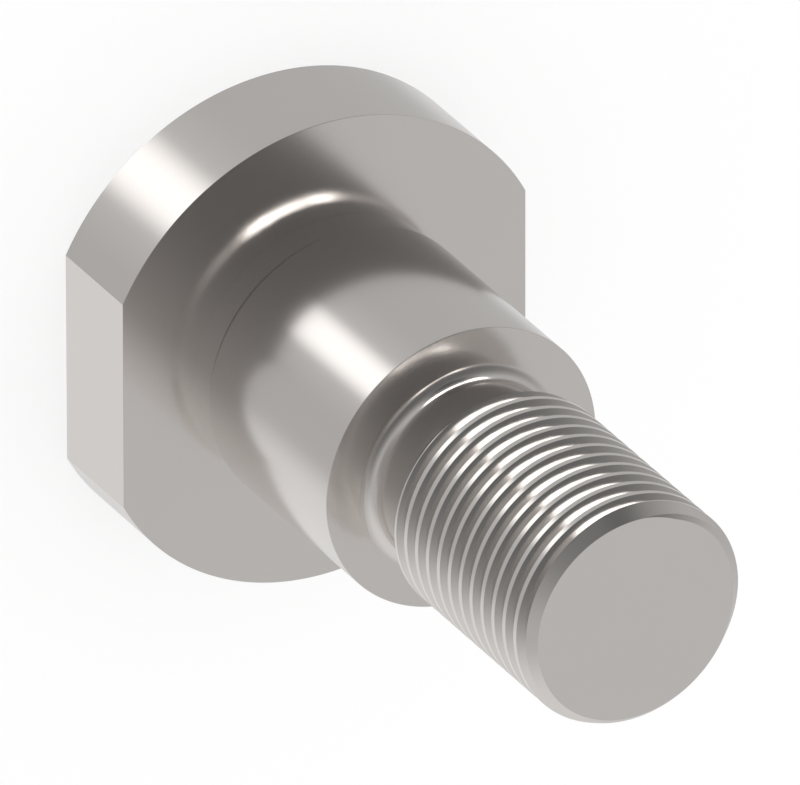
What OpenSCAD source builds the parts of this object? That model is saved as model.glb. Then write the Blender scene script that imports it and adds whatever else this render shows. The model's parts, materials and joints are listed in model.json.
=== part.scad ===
// Shoulder bolt turned from one bar: a round head with two milled flats, a ground
// shoulder with an undercut beside the head, a relief groove and a fine thread. It
// stands on the outer face of its head, with its axis along +Z and the tip of the
// thread up. The flats are square to X.

/* [Head] */
// Diameter of the round head
head_d = 33.6; // [32:0.1:40]
// Distance across the two flats
head_flats = 30; // [26:0.5:31]
// Thickness of the head
head_t = 7.5; // [4:0.5:12]

/* [Shoulder] */
// Diameter of the shoulder
shoulder_d = 20; // [19:0.1:22]
// Length of the shoulder, from the underside of the head to its end face
shoulder_l = 17.7; // [10:0.1:60]
// Depth of the undercut in the shoulder beside the head
undercut_depth = 0.3; // [0.1:0.05:0.5]
// Length of the undercut, from the underside of the head
undercut_l = 2.5; // [1:0.05:4]
// Radius of the corner between the undercut and the head
undercut_r = 0.15; // [0.1:0.05:0.3]

/* [Thread] */
// Major diameter of the thread
thread_d = 16; // [15:0.1:18]
// Length from the end face of the shoulder to the tip
thread_l = 22.4; // [16:0.1:60]
// Width of the chamfer at the tip
tip_chamfer = 0.75; // [0.5:0.05:1.5]
// Depth of the relief groove, from the major diameter of the thread
relief_depth = 1.5; // [1.1:0.1:1.6]
// Length of the relief groove, up to the full thread
relief_l = 5.2; // [4.5:0.1:7]
// Radius of the corner between the relief groove and the shoulder
relief_r = 1; // [0.6:0.1:1.2]

/* [Hidden] */
$fn = 128;
// Angle to the axis at which the undercut and the relief groove run out to full diameter
run_out_angle = 30;
// Heights of the underside of the head, the end face of the shoulder and the tip
head_top = head_t;
shoulder_top = head_top + shoulder_l;
tip_top = shoulder_top + thread_l;
// Radii of the head, the shoulder, its undercut, the thread and the relief groove
head_r = head_d / 2;
shoulder_r = shoulder_d / 2;
undercut_floor_r = shoulder_r - undercut_depth;
thread_r = thread_d / 2;
relief_floor_r = thread_r - relief_depth;
// Lengths of the two conical run-outs
undercut_run = undercut_depth / tan(run_out_angle);
relief_run = relief_depth / tan(run_out_angle);

// Concave fillet in the corner where a shaft of radius r stands on a face at height z
module corner_fillet(r, z, fillet) {
    difference() {
        translate([r, z]) square(fillet);
        translate([r + fillet, z + fillet]) circle(fillet);
    }
}

// Half section of the bolt, with the axis at x = 0 and the height along y. The thread
// stands at its major diameter.
module turned_section() {
    polygon([
        [0, 0],
        [head_r, 0],
        [head_r, head_top],
        [undercut_floor_r, head_top],
        [undercut_floor_r, head_top + undercut_l - undercut_run],
        [shoulder_r, head_top + undercut_l],
        [shoulder_r, shoulder_top],
        [relief_floor_r, shoulder_top],
        [relief_floor_r, shoulder_top + relief_l - relief_run],
        [thread_r, shoulder_top + relief_l],
        [thread_r, tip_top - tip_chamfer],
        [thread_r - tip_chamfer, tip_top],
        [0, tip_top],
    ]);
    corner_fillet(undercut_floor_r, head_top, undercut_r);
    corner_fillet(relief_floor_r, shoulder_top, relief_r);
}

// Block that a milling cutter takes off one side of the head
module flat_cut(side) {
    translate([side * head_d, 0, head_top / 2])
        cube([2 * head_d - head_flats, 2 * head_d, 2 * head_top], center = true);
}

module bolt() {
    color([0.72, 0.71, 0.70])
        difference() {
            rotate_extrude() turned_section();
            for (side = [-1, 1]) flat_cut(side);
        }
}

bolt();
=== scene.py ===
"""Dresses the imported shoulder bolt: one turned piece of steel with its cut thread.

Lengths in the classes are millimetres in the row frame: the axis is Z, the outer face of the
head is z = 0 and the tip of the thread points up. They become metres when a mesh is made.
"""
import json
import logging
import math
from dataclasses import dataclass, field
from enum import Enum

import bmesh
import bpy
import numpy as np
from mathutils import Matrix, Vector


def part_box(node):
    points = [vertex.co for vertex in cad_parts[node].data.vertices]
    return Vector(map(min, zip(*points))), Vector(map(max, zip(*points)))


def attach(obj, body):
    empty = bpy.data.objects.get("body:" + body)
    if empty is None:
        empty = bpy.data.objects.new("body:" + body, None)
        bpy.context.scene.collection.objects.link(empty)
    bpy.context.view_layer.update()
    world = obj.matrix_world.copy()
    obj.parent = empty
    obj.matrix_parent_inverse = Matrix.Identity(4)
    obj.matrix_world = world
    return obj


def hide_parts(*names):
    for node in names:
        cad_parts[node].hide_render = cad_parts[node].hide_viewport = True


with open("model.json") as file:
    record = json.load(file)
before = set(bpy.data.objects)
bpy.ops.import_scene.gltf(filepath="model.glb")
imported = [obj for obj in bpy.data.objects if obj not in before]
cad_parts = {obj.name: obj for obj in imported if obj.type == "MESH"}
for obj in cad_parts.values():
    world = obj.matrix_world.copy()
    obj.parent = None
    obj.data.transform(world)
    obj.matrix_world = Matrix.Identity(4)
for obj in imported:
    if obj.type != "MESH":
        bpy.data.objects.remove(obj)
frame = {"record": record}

log = logging.getLogger("shoulder_bolt")

MM = 0.001
NODE = "bolt"

Direction = tuple[float, float, float]
Colour = tuple[float, float, float]

WHITE = (1.0, 1.0, 1.0, 1.0)


class Cut(Enum):
    """How a surface was cut, which sets the marks that the tool left on it."""

    TURNED = 0
    MILLED = 1


def pin_radius(name: str) -> float:
    """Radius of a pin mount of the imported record, in millimetres."""
    mounts = {mount["name"]: mount for mount in frame["record"]["mounts"]}
    return float(mounts[name]["dims"]["r_mm"])


def mount_height(name: str) -> float:
    """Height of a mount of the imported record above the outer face, in millimetres."""
    mounts = {mount["name"]: mount for mount in frame["record"]["mounts"]}
    return float(mounts[name]["pos_m"][2]) / MM


def revolve(radii: np.ndarray, heights: np.ndarray, angles: np.ndarray) -> np.ndarray:
    """Turns a profile about Z: the point (r, z) at angle a is (r cos a, r sin a, z).

    Args:
        radii: distance from the axis of each profile point.
        heights: height of each profile point.
        angles: angle of each column, in radians.

    Returns:
        Points as an array of rows by columns by 3.
    """
    radii, heights = np.asarray(radii, float), np.asarray(heights, float)
    shape = (len(radii), len(angles))
    x = radii[:, None] * np.cos(angles)
    y = radii[:, None] * np.sin(angles)
    return np.stack([x, y, np.broadcast_to(heights[:, None], shape)], axis=-1)


def corner_arc(
    radius: float, height: float, fillet: float, steps: int
) -> tuple[np.ndarray, np.ndarray]:
    """Concave fillet from a flat face into a shaft that stands on it.

    Its centre is one fillet out from the shaft and one fillet above the face, and the arc
    runs a quarter turn from the point below the centre to the point beside it.

    Args:
        radius: radius of the shaft.
        height: height of the face.
        fillet: radius of the fillet.
        steps: number of chords.

    Returns:
        Radii and heights of the arc, from the face to the shaft.
    """
    turn = np.linspace(0.0, math.pi / 2, steps + 1)
    radii = radius + fillet - fillet * np.sin(turn)
    heights = height + fillet - fillet * np.cos(turn)
    return radii, heights


@dataclass
class Head:
    """The round head and its two milled flats, from the outer face to the underside."""

    radius: float
    half_flats: float
    thickness: float
    break_size: float = 0.02
    # Rings of the outer face, as shares of half the distance across the flats
    face_rings: tuple[float, ...] = (0.0, 0.35, 0.7)
    flat_tolerance: float = 1e-6

    def corner_angles(self) -> np.ndarray:
        """Angles at which the flats cut the round rim, within one turn."""
        corner = math.acos(self.half_flats / self.radius)
        return np.array([corner, math.pi - corner, math.pi + corner, 2 * math.pi - corner])

    def outline(self, angles: np.ndarray, inset: float) -> np.ndarray:
        """Distance of the rim from the axis: the circle, or the flat where that is nearer.

        Args:
            angles: angle of each column.
            inset: how far the outline is drawn in, as at a broken edge.

        Returns:
            Radius of each column.
        """
        reach = np.maximum(np.abs(np.cos(angles)), 1e-9)
        return np.minimum(self.radius - inset, (self.half_flats - inset) / reach)

    def ring(self, angles: np.ndarray, inset: float, height: float) -> np.ndarray:
        """One closed outline at a height, as a row of points."""
        reach = self.outline(angles, inset)
        points = [reach * np.cos(angles), reach * np.sin(angles), np.full_like(reach, height)]
        return np.stack(points, axis=-1)[None]

    def rows(self, angles: np.ndarray) -> list[np.ndarray]:
        """Outer face, broken edge, side and broken edge, as rows from the centre outwards."""
        rings = np.array(self.face_rings) * self.half_flats
        face = revolve(rings, np.zeros_like(rings), angles)
        small, top = self.break_size, self.thickness
        return [
            face,
            self.ring(angles, small, 0.0),
            self.ring(angles, 0.0, small),
            self.ring(angles, 0.0, top - small),
            self.ring(angles, small, top),
        ]

    def on_flats(self, points: np.ndarray) -> np.ndarray:
        """True for the points that lie on one of the milled flats."""
        return np.abs(np.abs(points[..., 0]) - self.half_flats) < self.flat_tolerance


@dataclass
class Shoulder:
    """The ground shoulder and the undercut that lets it seat against the head."""

    radius: float
    start: float
    end: float
    undercut_depth: float = 0.3
    undercut_length: float = 2.5
    undercut_angle: float = 30.0
    break_size: float = 0.03
    # Narrow rings beside the edges, which keep the smooth shading of wide faces flat
    head_ring: float = 1.5
    crease_ring: float = 0.1
    end_ring: float = 1.0

    def rows(self, angles: np.ndarray) -> list[np.ndarray]:
        """Underside of the head near the shaft, undercut, shoulder and its end edge."""
        floor = self.radius - self.undercut_depth
        run = self.undercut_depth / math.tan(math.radians(self.undercut_angle))
        crease = self.start + self.undercut_length
        radii = [self.radius + self.head_ring, floor, floor, self.radius, self.radius]
        heights = [self.start, self.start, crease - run, crease, crease + self.crease_ring]
        radii += [self.radius, self.radius, self.radius - self.break_size]
        heights += [self.end - self.end_ring, self.end - self.break_size, self.end]
        return [revolve(np.array(radii), np.array(heights), angles)]


@dataclass
class Relief:
    """The groove in which the threading tool runs out against the shoulder."""

    face: float
    floor: float = 6.5
    fillet: float = 1.0
    length: float = 5.3
    angle: float = 45.0
    # Radius of the bend from the floor into the cone
    bend: float = 1.0
    # Chords of the corner's quarter turn
    steps: int = 24
    # Rings of the end face beside the corner, which keep its smooth shading flat
    inner_ring: float = 0.08
    outer_ring: float = 1.2

    def slope(self) -> float:
        """Rise of the run-out cone's radius for each unit of height."""
        return math.tan(math.radians(self.angle))

    def cone(self, height: np.ndarray, full_radius: float) -> np.ndarray:
        """Radius of the run-out cone: it reaches the full radius at the groove's end."""
        return full_radius + (height - self.face - self.length) * self.slope()

    def rows(self, angles: np.ndarray, full_radius: float, up_to: float) -> list[np.ndarray]:
        """End face of the shoulder near the groove, the groove and its cone.

        The floor bends into the cone: after a turn a of the bend it has risen by
        bend (1 - cos a) and gone on by bend sin a.

        Args:
            angles: angle of each column.
            full_radius: radius of the thread that the cone runs out to.
            up_to: radius of the cone at which the thread's own rows take over.

        Returns:
            Rows from the end face inwards and up.
        """
        near = self.floor + self.fillet
        arc_r, arc_z = corner_arc(self.floor, self.face, self.fillet, self.steps)
        foot = self.face + self.length - (full_radius - self.floor) / self.slope()
        last = foot + (up_to - self.floor) / self.slope()
        end = math.radians(self.angle)
        turn = np.linspace(0.0, end, self.steps // 2 + 1)
        bend_r = self.floor + self.bend * (1 - np.cos(turn))
        bend_z = foot - self.bend * math.tan(end / 2) + self.bend * np.sin(turn)
        radii = [near + self.outer_ring, near + self.inner_ring, *arc_r, *bend_r, up_to]
        heights = [self.face, self.face, *arc_z, *bend_z, last]
        return [revolve(np.array(radii), np.array(heights), angles)]


@dataclass
class Thread:
    """The fine thread: a sharp groove on a true helix, cut off by the relief and the chamfer.

    One ridge is four straight stretches: rising flank, crest, falling flank and root. Each
    stretch has a middle point that is set where the stretch meets the cone that cuts it off,
    so every edge is a clean curve.
    """

    radius: float
    tip: float
    relief: Relief
    pitch: float = 1.4
    crest: float = 0.39
    root_radius: float = 7.13
    root: float = 0.01
    chamfer: float = 0.75
    # Height of the middle of one ridge at angle zero, before the relief cuts it off
    phase: float = 8.145
    # Chords from each end of a stretch to its middle point
    steps: int = 2
    # Radius of the run-out cone at which these rows take over from the groove's
    handoff_radius: float = 6.95
    # Distance of the tip's outer ring inside the root
    tip_ring: float = 0.1

    def stretches(self) -> list[tuple[float, float, float, float]]:
        """Ends of the four stretches of one ridge, as (u, r, u, r) from the ridge's middle."""
        half, root_half = self.crest / 2, self.root / 2
        foot = self.pitch / 2 - root_half
        return [
            (-foot, self.root_radius, -half, self.radius),
            (-half, self.radius, half, self.radius),
            (half, self.radius, foot, self.root_radius),
            (foot, self.root_radius, self.pitch - foot, self.root_radius),
        ]

    def lead(self, angles: np.ndarray) -> np.ndarray:
        """Rise of the helix at each angle: one pitch for each turn."""
        return self.pitch * angles / (2 * math.pi)

    def envelope(self, height: np.ndarray) -> np.ndarray:
        """Largest radius at a height: the lowest of run-out cone, full thread and chamfer."""
        cone = self.relief.cone(height, self.radius)
        bevel = self.radius - self.chamfer + (self.tip - height)
        return np.minimum(np.minimum(cone, bevel), self.radius)

    def groove(self, height: np.ndarray, angles: np.ndarray) -> np.ndarray:
        """Radius of the endless thread at a height and angle, before anything cuts it off."""
        along = height - self.phase - self.lead(angles) + self.pitch / 2
        off_middle = np.abs(along % self.pitch - self.pitch / 2)
        foot = self.pitch / 2 - self.root / 2
        depth = self.radius - self.root_radius
        fall = (off_middle - self.crest / 2) / (foot - self.crest / 2)
        return self.radius - depth * np.clip(fall, 0.0, 1.0)

    def meeting(self, r0: float, dr: float, z0: np.ndarray, dz: float) -> np.ndarray:
        """Share of a straight stretch at which it meets the run-out cone or the chamfer.

        The stretch is r = r0 + t dr, z = z0 + t dz, and either cone is r = a + b z, so
        t = (a + b z0 - r0) / (dr - b dz). Half is given where it meets neither.
        """
        slope = self.relief.slope()
        at_cone = (self.relief.cone(z0, self.radius) - r0) / (dr - slope * dz)
        bevel = self.radius - self.chamfer + (self.tip - z0)
        at_bevel = (bevel - r0) / (dr + dz)
        cuts = np.where((at_bevel > 0) & (at_bevel < 1), at_bevel, 0.5)
        return np.where((at_cone > 0) & (at_cone < 1), at_cone, cuts)

    def rows(self, angles: np.ndarray) -> tuple[np.ndarray, int]:
        """All ridges as rows that follow the helix, clamped between the cone and the tip.

        The ridges begin two below the cone and end one above the tip, so that the helix
        covers the whole length at every angle.

        Args:
            angles: angle of each column.

        Returns:
            The rows, and how many rows one turn of the helix moves on.
        """
        start = self.relief.face + self.relief.length
        start -= (self.radius - self.handoff_radius) / self.relief.slope()
        first = math.floor((start - self.phase) / self.pitch) - 2
        last = math.ceil((self.tip - self.phase) / self.pitch) + 1
        middles = self.phase + self.pitch * np.arange(first, last + 1)[:, None]
        middles = middles + self.lead(angles)
        share = np.arange(self.steps) / self.steps
        parts = []
        for u0, r0, u1, r1 in self.stretches():
            z0, dz, dr = middles + u0, u1 - u0, r1 - r0
            meet = self.meeting(r0, dr, z0, dz)[:, None, :]
            before = meet * share[None, :, None]
            after = meet + (1 - meet) * share[None, :, None]
            along = np.concatenate([before, after], axis=1)
            parts.append(np.stack([z0[:, None, :] + along * dz, r0 + along * dr], axis=-1))
        ridge = np.concatenate(parts, axis=1)
        per_turn = ridge.shape[1]
        z, r = ridge.reshape(-1, len(angles), 2).transpose(2, 0, 1)
        r = np.minimum(r, self.envelope(z))
        at_tip = np.minimum(self.groove(self.tip, angles), self.envelope(self.tip))
        r = np.where(z < start, self.handoff_radius, np.where(z > self.tip, at_tip, r))
        z = np.clip(z, start, self.tip)
        return np.stack([r * np.cos(angles), r * np.sin(angles), z], axis=-1), per_turn

    def tip_rows(self, angles: np.ndarray) -> list[np.ndarray]:
        """Flat face of the tip, from near its edge to its centre."""
        edge = self.root_radius - self.tip_ring
        return [revolve(np.array([edge, edge / 2, 0.0]), np.full(3, self.tip), angles)]


@dataclass(frozen=True)
class Steel:
    """Bare turned steel: a pale warm grey with the fine marks of the tool."""

    name: str
    cut: Cut
    tint: Colour = (0.690, 0.660, 0.635)
    # Share of the tint that is left where the clouds are darkest
    shade: float = 0.97
    cloud_size: float = 9.0
    cloud_detail: float = 3.0
    roughness: float = 0.18
    roughness_spread: float = 0.03
    mark_spacing: float = 0.09
    mark_depth: float = 0.00002
    mark_detail: float = 2.0

    def material(self) -> bpy.types.Material:
        """Makes the material: cloudy tint, uneven gloss and tool marks as bump."""
        material = bpy.data.materials.new(self.name)
        material.use_nodes = True
        sheet = NodeSheet(material.node_tree)
        shader = sheet.find("ShaderNodeBsdfPrincipled")
        shader.inputs["Metallic"].default_value = 1.0
        place = sheet.add("ShaderNodeTexCoord").outputs["Object"]
        marks = self.tool_marks(sheet, place)
        clouds = sheet.add("ShaderNodeTexNoise")
        clouds.inputs["Scale"].default_value = 1 / (self.cloud_size * MM)
        clouds.inputs["Detail"].default_value = self.cloud_detail
        sheet.join(place, clouds.inputs["Vector"])
        tint = sheet.add("ShaderNodeMix", data_type="RGBA")
        tint.inputs["A"].default_value = (*[c * self.shade for c in self.tint], 1.0)
        tint.inputs["B"].default_value = (*self.tint, 1.0)
        sheet.join(clouds.outputs["Fac"], tint.inputs["Factor"])
        sheet.join(tint.outputs["Result"], shader.inputs["Base Color"])
        gloss = sheet.add("ShaderNodeMapRange")
        gloss.inputs["To Min"].default_value = self.roughness - self.roughness_spread / 2
        gloss.inputs["To Max"].default_value = self.roughness + self.roughness_spread / 2
        sheet.join(marks, gloss.inputs["Value"])
        sheet.join(gloss.outputs["Result"], shader.inputs["Roughness"])
        bump = sheet.add("ShaderNodeBump")
        bump.inputs["Distance"].default_value = self.mark_depth * MM
        sheet.join(marks, bump.inputs["Height"])
        sheet.join(bump.outputs["Normal"], shader.inputs["Normal"])
        return material

    def tool_marks(
        self, sheet: "NodeSheet", place: bpy.types.NodeSocket
    ) -> bpy.types.NodeSocket:
        """Noise along one line: across the feed of a lathe, or across a milling stroke."""
        parts = sheet.add("ShaderNodeSeparateXYZ")
        sheet.join(place, parts.inputs["Vector"])
        if self.cut is Cut.TURNED:
            flat = sheet.add("ShaderNodeCombineXYZ")
            sheet.join(parts.outputs["X"], flat.inputs["X"])
            sheet.join(parts.outputs["Y"], flat.inputs["Y"])
            length = sheet.add("ShaderNodeVectorMath", operation="LENGTH")
            sheet.join(flat.outputs["Vector"], length.inputs[0])
            line = sheet.math("ADD", length.outputs["Value"], parts.outputs["Z"])
        else:
            line = parts.outputs["Z"]
        noise = sheet.add("ShaderNodeTexNoise", noise_dimensions="1D")
        noise.inputs["Scale"].default_value = 1 / (self.mark_spacing * MM)
        noise.inputs["Detail"].default_value = self.mark_detail
        sheet.join(line, noise.inputs["W"])
        return noise.outputs["Fac"]


@dataclass
class ShoulderBolt:
    """The whole bolt as one closed surface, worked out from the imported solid's own sizes."""

    head: Head
    shoulder: Shoulder
    relief: Relief
    thread: Thread
    columns: int = 320
    # Angle in degrees between two faces up to which their edge is shaded smooth
    smooth_below: float = 10.0
    # Distance within which points are one point
    merge_within: float = 0.0002

    @classmethod
    def from_frame(cls) -> "ShoulderBolt":
        """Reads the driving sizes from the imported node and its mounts."""
        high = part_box(NODE)[1] / MM
        head = Head(radius=high.y, half_flats=high.x, thickness=mount_height("head_seat"))
        end = mount_height("shoulder_end")
        shoulder = Shoulder(radius=pin_radius("shoulder"), start=head.thickness, end=end)
        relief = Relief(face=end)
        thread = Thread(radius=pin_radius("thread"), tip=high.z, relief=relief)
        return cls(head, shoulder, relief, thread)

    def angles(self) -> np.ndarray:
        """Even columns round the axis, the nearest one moved to each corner of the flats."""
        angles = np.arange(self.columns) * 2 * math.pi / self.columns
        corners = self.head.corner_angles()
        nearest = np.abs(angles[None] - corners[:, None]).argmin(axis=1)
        angles[nearest] = corners
        return angles

    def surface(self) -> tuple[np.ndarray, np.ndarray]:
        """Stacks the rows of every stretch, from the outer face of the head to the tip.

        Returns:
            The points as rows by columns by 3, and how many rows each row moves on where
            the last column meets the first.
        """
        angles = self.angles()
        before = self.head.rows(angles) + self.shoulder.rows(angles)
        full, hand = self.thread.radius, self.thread.handoff_radius
        before += self.relief.rows(angles, full, hand)
        helix, per_turn = self.thread.rows(angles)
        rows = np.concatenate([*before, helix, *self.thread.tip_rows(angles)])
        number = np.arange(len(rows))
        first = sum(len(part) for part in before)
        last = first + len(helix) - 1
        moved = np.minimum(number + per_turn, last) - number
        return rows, np.where((number >= first) & (number <= last), moved, 0)

    def mesh(self) -> bpy.types.Mesh:
        """Joins the rows into quads, merges what coincides and marks the sharp edges."""
        rows, moved = self.surface()
        count, width = rows.shape[:2]
        index = np.arange(count * width).reshape(count, width)
        after = np.roll(index, -1, axis=1)
        after[:, -1] = index[np.arange(count) + moved, 0]
        quads = np.stack([index[:-1], after[:-1], after[1:], index[1:]], axis=-1)
        points = rows.reshape(-1, 3) * MM
        milled = self.head.on_flats(rows.reshape(-1, 3))[quads.reshape(-1, 4)].all(axis=1)
        mesh = bpy.data.meshes.new(NODE)
        mesh.from_pydata(points, [], quads.reshape(-1, 4).tolist())
        mesh.polygons.foreach_set("material_index", milled.astype(np.int32))
        clean = bmesh.new()
        clean.from_mesh(mesh)
        near = self.merge_within * MM
        bmesh.ops.remove_doubles(clean, verts=clean.verts, dist=near)
        bmesh.ops.dissolve_degenerate(clean, edges=clean.edges, dist=near)
        bmesh.ops.recalc_face_normals(clean, faces=clean.faces)
        clean.to_mesh(mesh)
        clean.free()
        mesh.polygons.foreach_set("use_smooth", np.ones(len(mesh.polygons), bool))
        mesh.set_sharp_from_angle(angle=math.radians(self.smooth_below))
        return mesh

    def build(self) -> bpy.types.Object:
        """Makes the piece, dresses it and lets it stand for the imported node."""
        piece = bpy.data.objects.new("shoulder_bolt", self.mesh())
        bpy.context.scene.collection.objects.link(piece)
        piece.data.materials.append(Steel("turned_steel", Cut.TURNED).material())
        piece.data.materials.append(Steel("milled_steel", Cut.MILLED).material())
        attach(piece, "root")
        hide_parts(NODE)
        return piece


class NodeSheet:
    """A short way to add and join shader nodes."""

    def __init__(self, tree: bpy.types.NodeTree) -> None:
        """Keeps the node tree that everything is added to."""
        self.tree = tree

    def add(self, kind: str, **settings: object) -> bpy.types.Node:
        """Adds a node of a kind and sets its own settings."""
        node = self.tree.nodes.new(kind)
        for name, value in settings.items():
            setattr(node, name, value)
        return node

    def find(self, kind: str) -> bpy.types.Node:
        """The node of a kind that the tree already has."""
        return next(node for node in self.tree.nodes if node.bl_idname == kind)

    def join(self, source: bpy.types.NodeSocket, target: bpy.types.NodeSocket) -> None:
        """Links an output to an input."""
        self.tree.links.new(source, target)

    def math(self, operation: str, first: object, second: object) -> bpy.types.NodeSocket:
        """Adds a Math node whose two inputs are outputs of other nodes or numbers."""
        node = self.add("ShaderNodeMath", operation=operation)
        for value, target in zip((first, second), node.inputs):
            if isinstance(value, bpy.types.NodeSocket):
                self.join(value, target)
            else:
                target.default_value = value
        return node.outputs["Value"]


@dataclass(frozen=True)
class Softbox:
    """A round patch of the studio's surroundings, lighter or darker than the rest.

    All but the level are in degrees. The azimuth is counted from +X towards +Y. The level
    is added in full inside the inner angle and fades out towards the outer one.
    """

    azimuth: float
    elevation: float
    inner: float
    outer: float
    level: float

    def towards(self) -> Vector:
        """Unit vector from the bolt to the middle of the patch."""
        turn, rise = math.radians(self.azimuth), math.radians(self.elevation)
        flat = math.cos(rise)
        return Vector((flat * math.cos(turn), flat * math.sin(turn), math.sin(rise)))

    def patch(self, sheet: NodeSheet, ray: bpy.types.NodeSocket) -> bpy.types.NodeSocket:
        """One inside the inner angle, none past the outer one, and smooth between them."""
        dot = sheet.add("ShaderNodeVectorMath", operation="DOT_PRODUCT")
        dot.inputs[1].default_value = self.towards()
        sheet.join(ray, dot.inputs[0])
        fade = sheet.add("ShaderNodeMapRange", interpolation_type="SMOOTHSTEP")
        fade.inputs["From Min"].default_value = math.cos(math.radians(self.outer))
        fade.inputs["From Max"].default_value = math.cos(math.radians(self.inner))
        sheet.join(dot.outputs["Value"], fade.inputs["Value"])
        return fade.outputs["Result"]


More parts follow.
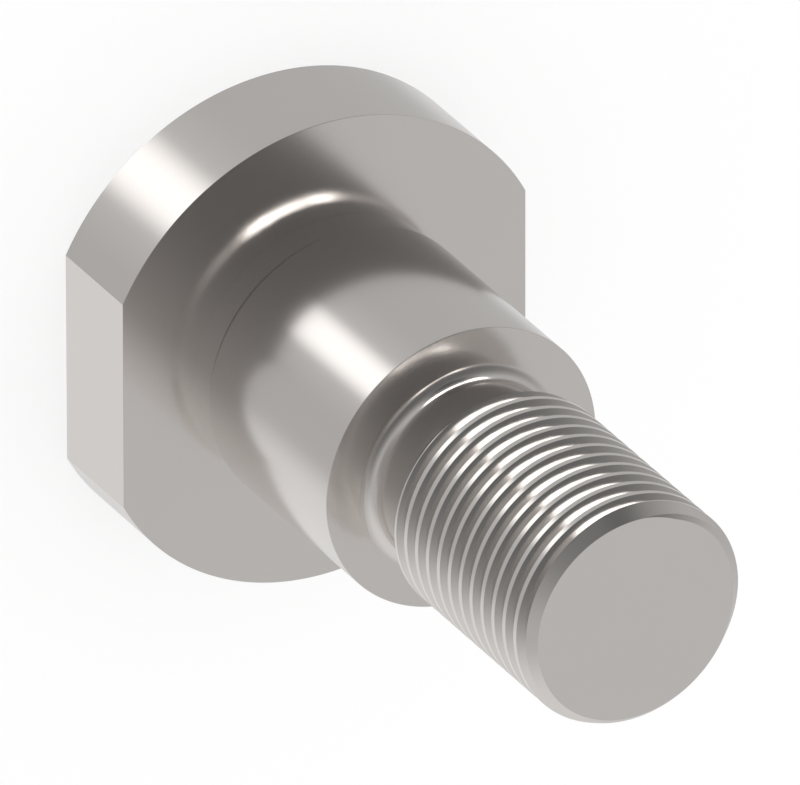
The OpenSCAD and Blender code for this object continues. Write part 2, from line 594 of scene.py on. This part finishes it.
@dataclass
class Studio:
    """White surroundings, a pale floor and the soft light that the steel mirrors."""

    softboxes: list[Softbox] = field(default_factory=lambda: [
        # Broad light from behind, and the dark part overhead
        Softbox(100, 24, 22, 64, 0.30),
        Softbox(-104, 72, 15, 73, -0.42),
        # Low lamp that draws the streak along the shoulder, with its halo
        Softbox(-56, -49, 1, 13, 1.05),
        Softbox(-57, -49, 5, 28, 0.08),
        # Row of lamps at the front that the thread and the corners mirror as one strip
        Softbox(-81, -9, 6, 13, 4.20),
        Softbox(-95, -9, 6, 12, 2.60),
        Softbox(-105, -8, 4, 10, 2.80),
        Softbox(-114, -7, 3, 10, 1.90),
        Softbox(-127, -6, 6, 12, 5.20),
        # Dark round that strip and beside it, and light low on the far side
        Softbox(-9, -10, 5, 39, -0.22),
        Softbox(130, -48, 5, 30, 0.20),
        Softbox(-101, 4, 15, 36, -0.27),
        Softbox(66, -47, 6, 32, 0.33),
    ])
    # Level of the surroundings where no softbox is
    base: float = 0.58
    floor_size: float = 900.0
    floor_drop: float = 0.02
    floor_colour: Colour = (0.30, 0.30, 0.30)
    floor_lift: float = 0.71

    def build(self) -> None:
        """Makes the surroundings and the floor."""
        self.surroundings()
        self.floor()

    def surroundings(self) -> None:
        """Plain white for the camera and for soft light, with softboxes for what mirrors it."""
        world = bpy.data.worlds.new("studio")
        bpy.context.scene.world = world
        world.use_nodes = True
        sheet = NodeSheet(world.node_tree)
        ray = sheet.add("ShaderNodeTexCoord").outputs["Generated"]
        level: bpy.types.NodeSocket | float = self.base
        for box in self.softboxes:
            share = sheet.math("MULTIPLY", box.patch(sheet, ray), box.level)
            level = sheet.math("ADD", level, share)
        level = sheet.math("MAXIMUM", level, 0.0)
        path = sheet.add("ShaderNodeLightPath").outputs
        mirrored = sheet.math("MAXIMUM", path["Is Glossy Ray"], path["Is Transmission Ray"])
        strength = sheet.add("ShaderNodeMix", data_type="FLOAT")
        strength.inputs["A"].default_value = 1.0
        sheet.join(level, strength.inputs["B"])
        sheet.join(mirrored, strength.inputs["Factor"])
        background = sheet.find("ShaderNodeBackground")
        background.inputs["Color"].default_value = WHITE
        sheet.join(strength.outputs["Result"], background.inputs["Strength"])

    def floor(self) -> None:
        """A level pale floor that keeps the bolt's shadow and is clear from below."""
        half, level = self.floor_size / 2 * MM, -self.floor_drop * MM
        corners = [(-half, -half), (half, -half), (half, half), (-half, half)]
        mesh = bpy.data.meshes.new("floor")
        mesh.from_pydata([(x, y, level) for x, y in corners], [], [(0, 1, 2, 3)])
        floor = bpy.data.objects.new("floor", mesh)
        bpy.context.scene.collection.objects.link(floor)
        mesh.materials.append(self.floor_paint())

    def floor_paint(self) -> bpy.types.Material:
        """Pale matt paint, lifted to white, that only direct and soft rays from above meet."""
        material = bpy.data.materials.new("pale_floor")
        material.use_nodes = True
        sheet = NodeSheet(material.node_tree)
        shader = sheet.find("ShaderNodeBsdfPrincipled")
        shader.inputs["Base Color"].default_value = (*self.floor_colour, 1.0)
        shader.inputs["Roughness"].default_value = 1.0
        shader.inputs["Specular IOR Level"].default_value = 0.0
        shader.inputs["Emission Color"].default_value = WHITE
        shader.inputs["Emission Strength"].default_value = self.floor_lift
        path = sheet.add("ShaderNodeLightPath").outputs
        back = sheet.add("ShaderNodeNewGeometry").outputs["Backfacing"]
        met = sheet.math("MAXIMUM", path["Is Camera Ray"], path["Is Diffuse Ray"])
        met = sheet.math("MULTIPLY", met, sheet.math("SUBTRACT", 1.0, back))
        clear = sheet.add("ShaderNodeBsdfTransparent")
        mix = sheet.add("ShaderNodeMixShader")
        sheet.join(met, mix.inputs["Fac"])
        sheet.join(clear.outputs["BSDF"], mix.inputs[1])
        sheet.join(shader.outputs["BSDF"], mix.inputs[2])
        output = sheet.find("ShaderNodeOutputMaterial")
        sheet.join(mix.outputs["Shader"], output.inputs["Surface"])
        return material


@dataclass
class ViewCamera:
    """A very long lens that looks down on the standing bolt, turned so that it lies as pictured.

    Lines that are parallel on the bolt stay parallel in the picture, so the lens stands far
    off: half the width over the distance is half the sensor over the focal length.
    """

    # Turns of the camera in degrees
    azimuth: float = 40.941
    elevation: float = 48.865
    roll: float = 130.861
    sensor: float = 36.0
    lens: float = 1663.4
    # Width that the picture covers where the lens looks at, and the point in its middle
    width: float = 51.664
    aim: Direction = (-0.706, -0.801, 16.041)
    # Nearest and farthest distance that the camera sees, in metres
    reach: tuple[float, float] = (0.1, 10.0)

    def axes(self) -> Matrix:
        """Right, up and back of the camera: a level camera rolled about its own axis."""
        turn, rise = math.radians(self.azimuth), math.radians(self.elevation)
        right = Vector((math.cos(turn), math.sin(turn), 0))
        flat = math.cos(rise)
        back = Vector((math.sin(turn) * flat, -math.cos(turn) * flat, math.sin(rise)))
        level = Matrix((right, back.cross(right), back)).transposed()
        return level @ Matrix.Rotation(math.radians(self.roll), 3, "Z")

    def build(self) -> bpy.types.Object:
        """Makes the camera and gives it to the scene."""
        data = bpy.data.cameras.new("camera")
        data.sensor_width, data.lens = self.sensor, self.lens
        data.clip_start, data.clip_end = self.reach
        camera = bpy.data.objects.new("camera", data)
        bpy.context.scene.collection.objects.link(camera)
        axes = self.axes()
        distance = self.width * self.lens / self.sensor
        place = (Vector(self.aim) + axes.col[2] * distance) * MM
        camera.matrix_world = Matrix.Translation(place) @ axes.to_4x4()
        bpy.context.scene.camera = camera
        return camera


def main() -> None:
    """Builds the camera, the studio and the bolt, and reports each piece."""
    logging.basicConfig(level=logging.INFO, format="%(name)s: %(message)s")
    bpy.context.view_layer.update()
    bpy.context.scene.view_settings.view_transform = "Standard"
    ViewCamera().build()
    Studio().build()
    piece = ShoulderBolt.from_frame().build()
    log.info("%s: %d faces", piece.name, len(piece.data.polygons))


if __name__ == "__main__":
    main()
